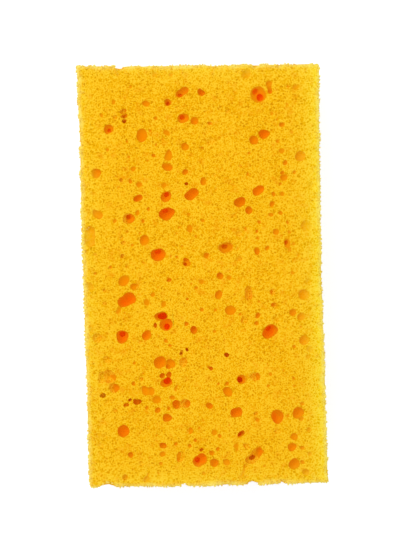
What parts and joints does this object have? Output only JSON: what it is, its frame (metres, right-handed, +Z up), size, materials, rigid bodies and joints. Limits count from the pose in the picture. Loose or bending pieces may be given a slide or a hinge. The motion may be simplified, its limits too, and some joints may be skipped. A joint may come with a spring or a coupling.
{
  "type": "cleaning sponge",
  "caption": "Rectangular block of coarse open-cell foam for wet cleaning, with blown bubbles cut open by its faces.",
  "frame": {"origin": "middle of the flat underside, centred in the block's bounding box", "axes": "+X across the width, +Y along the length, +Z up through the thickness, out of the face that the bubbles are listed for"},
  "size_m": [0.0812, 0.1418, 0.04],
  "materials": {
    "foam": "matt open-cell foam, dry, bright yellow, with orange bubble walls"
  },
  "bodies": {
    "root": {"sponge": "foam"}
  },
  "joints": []
}
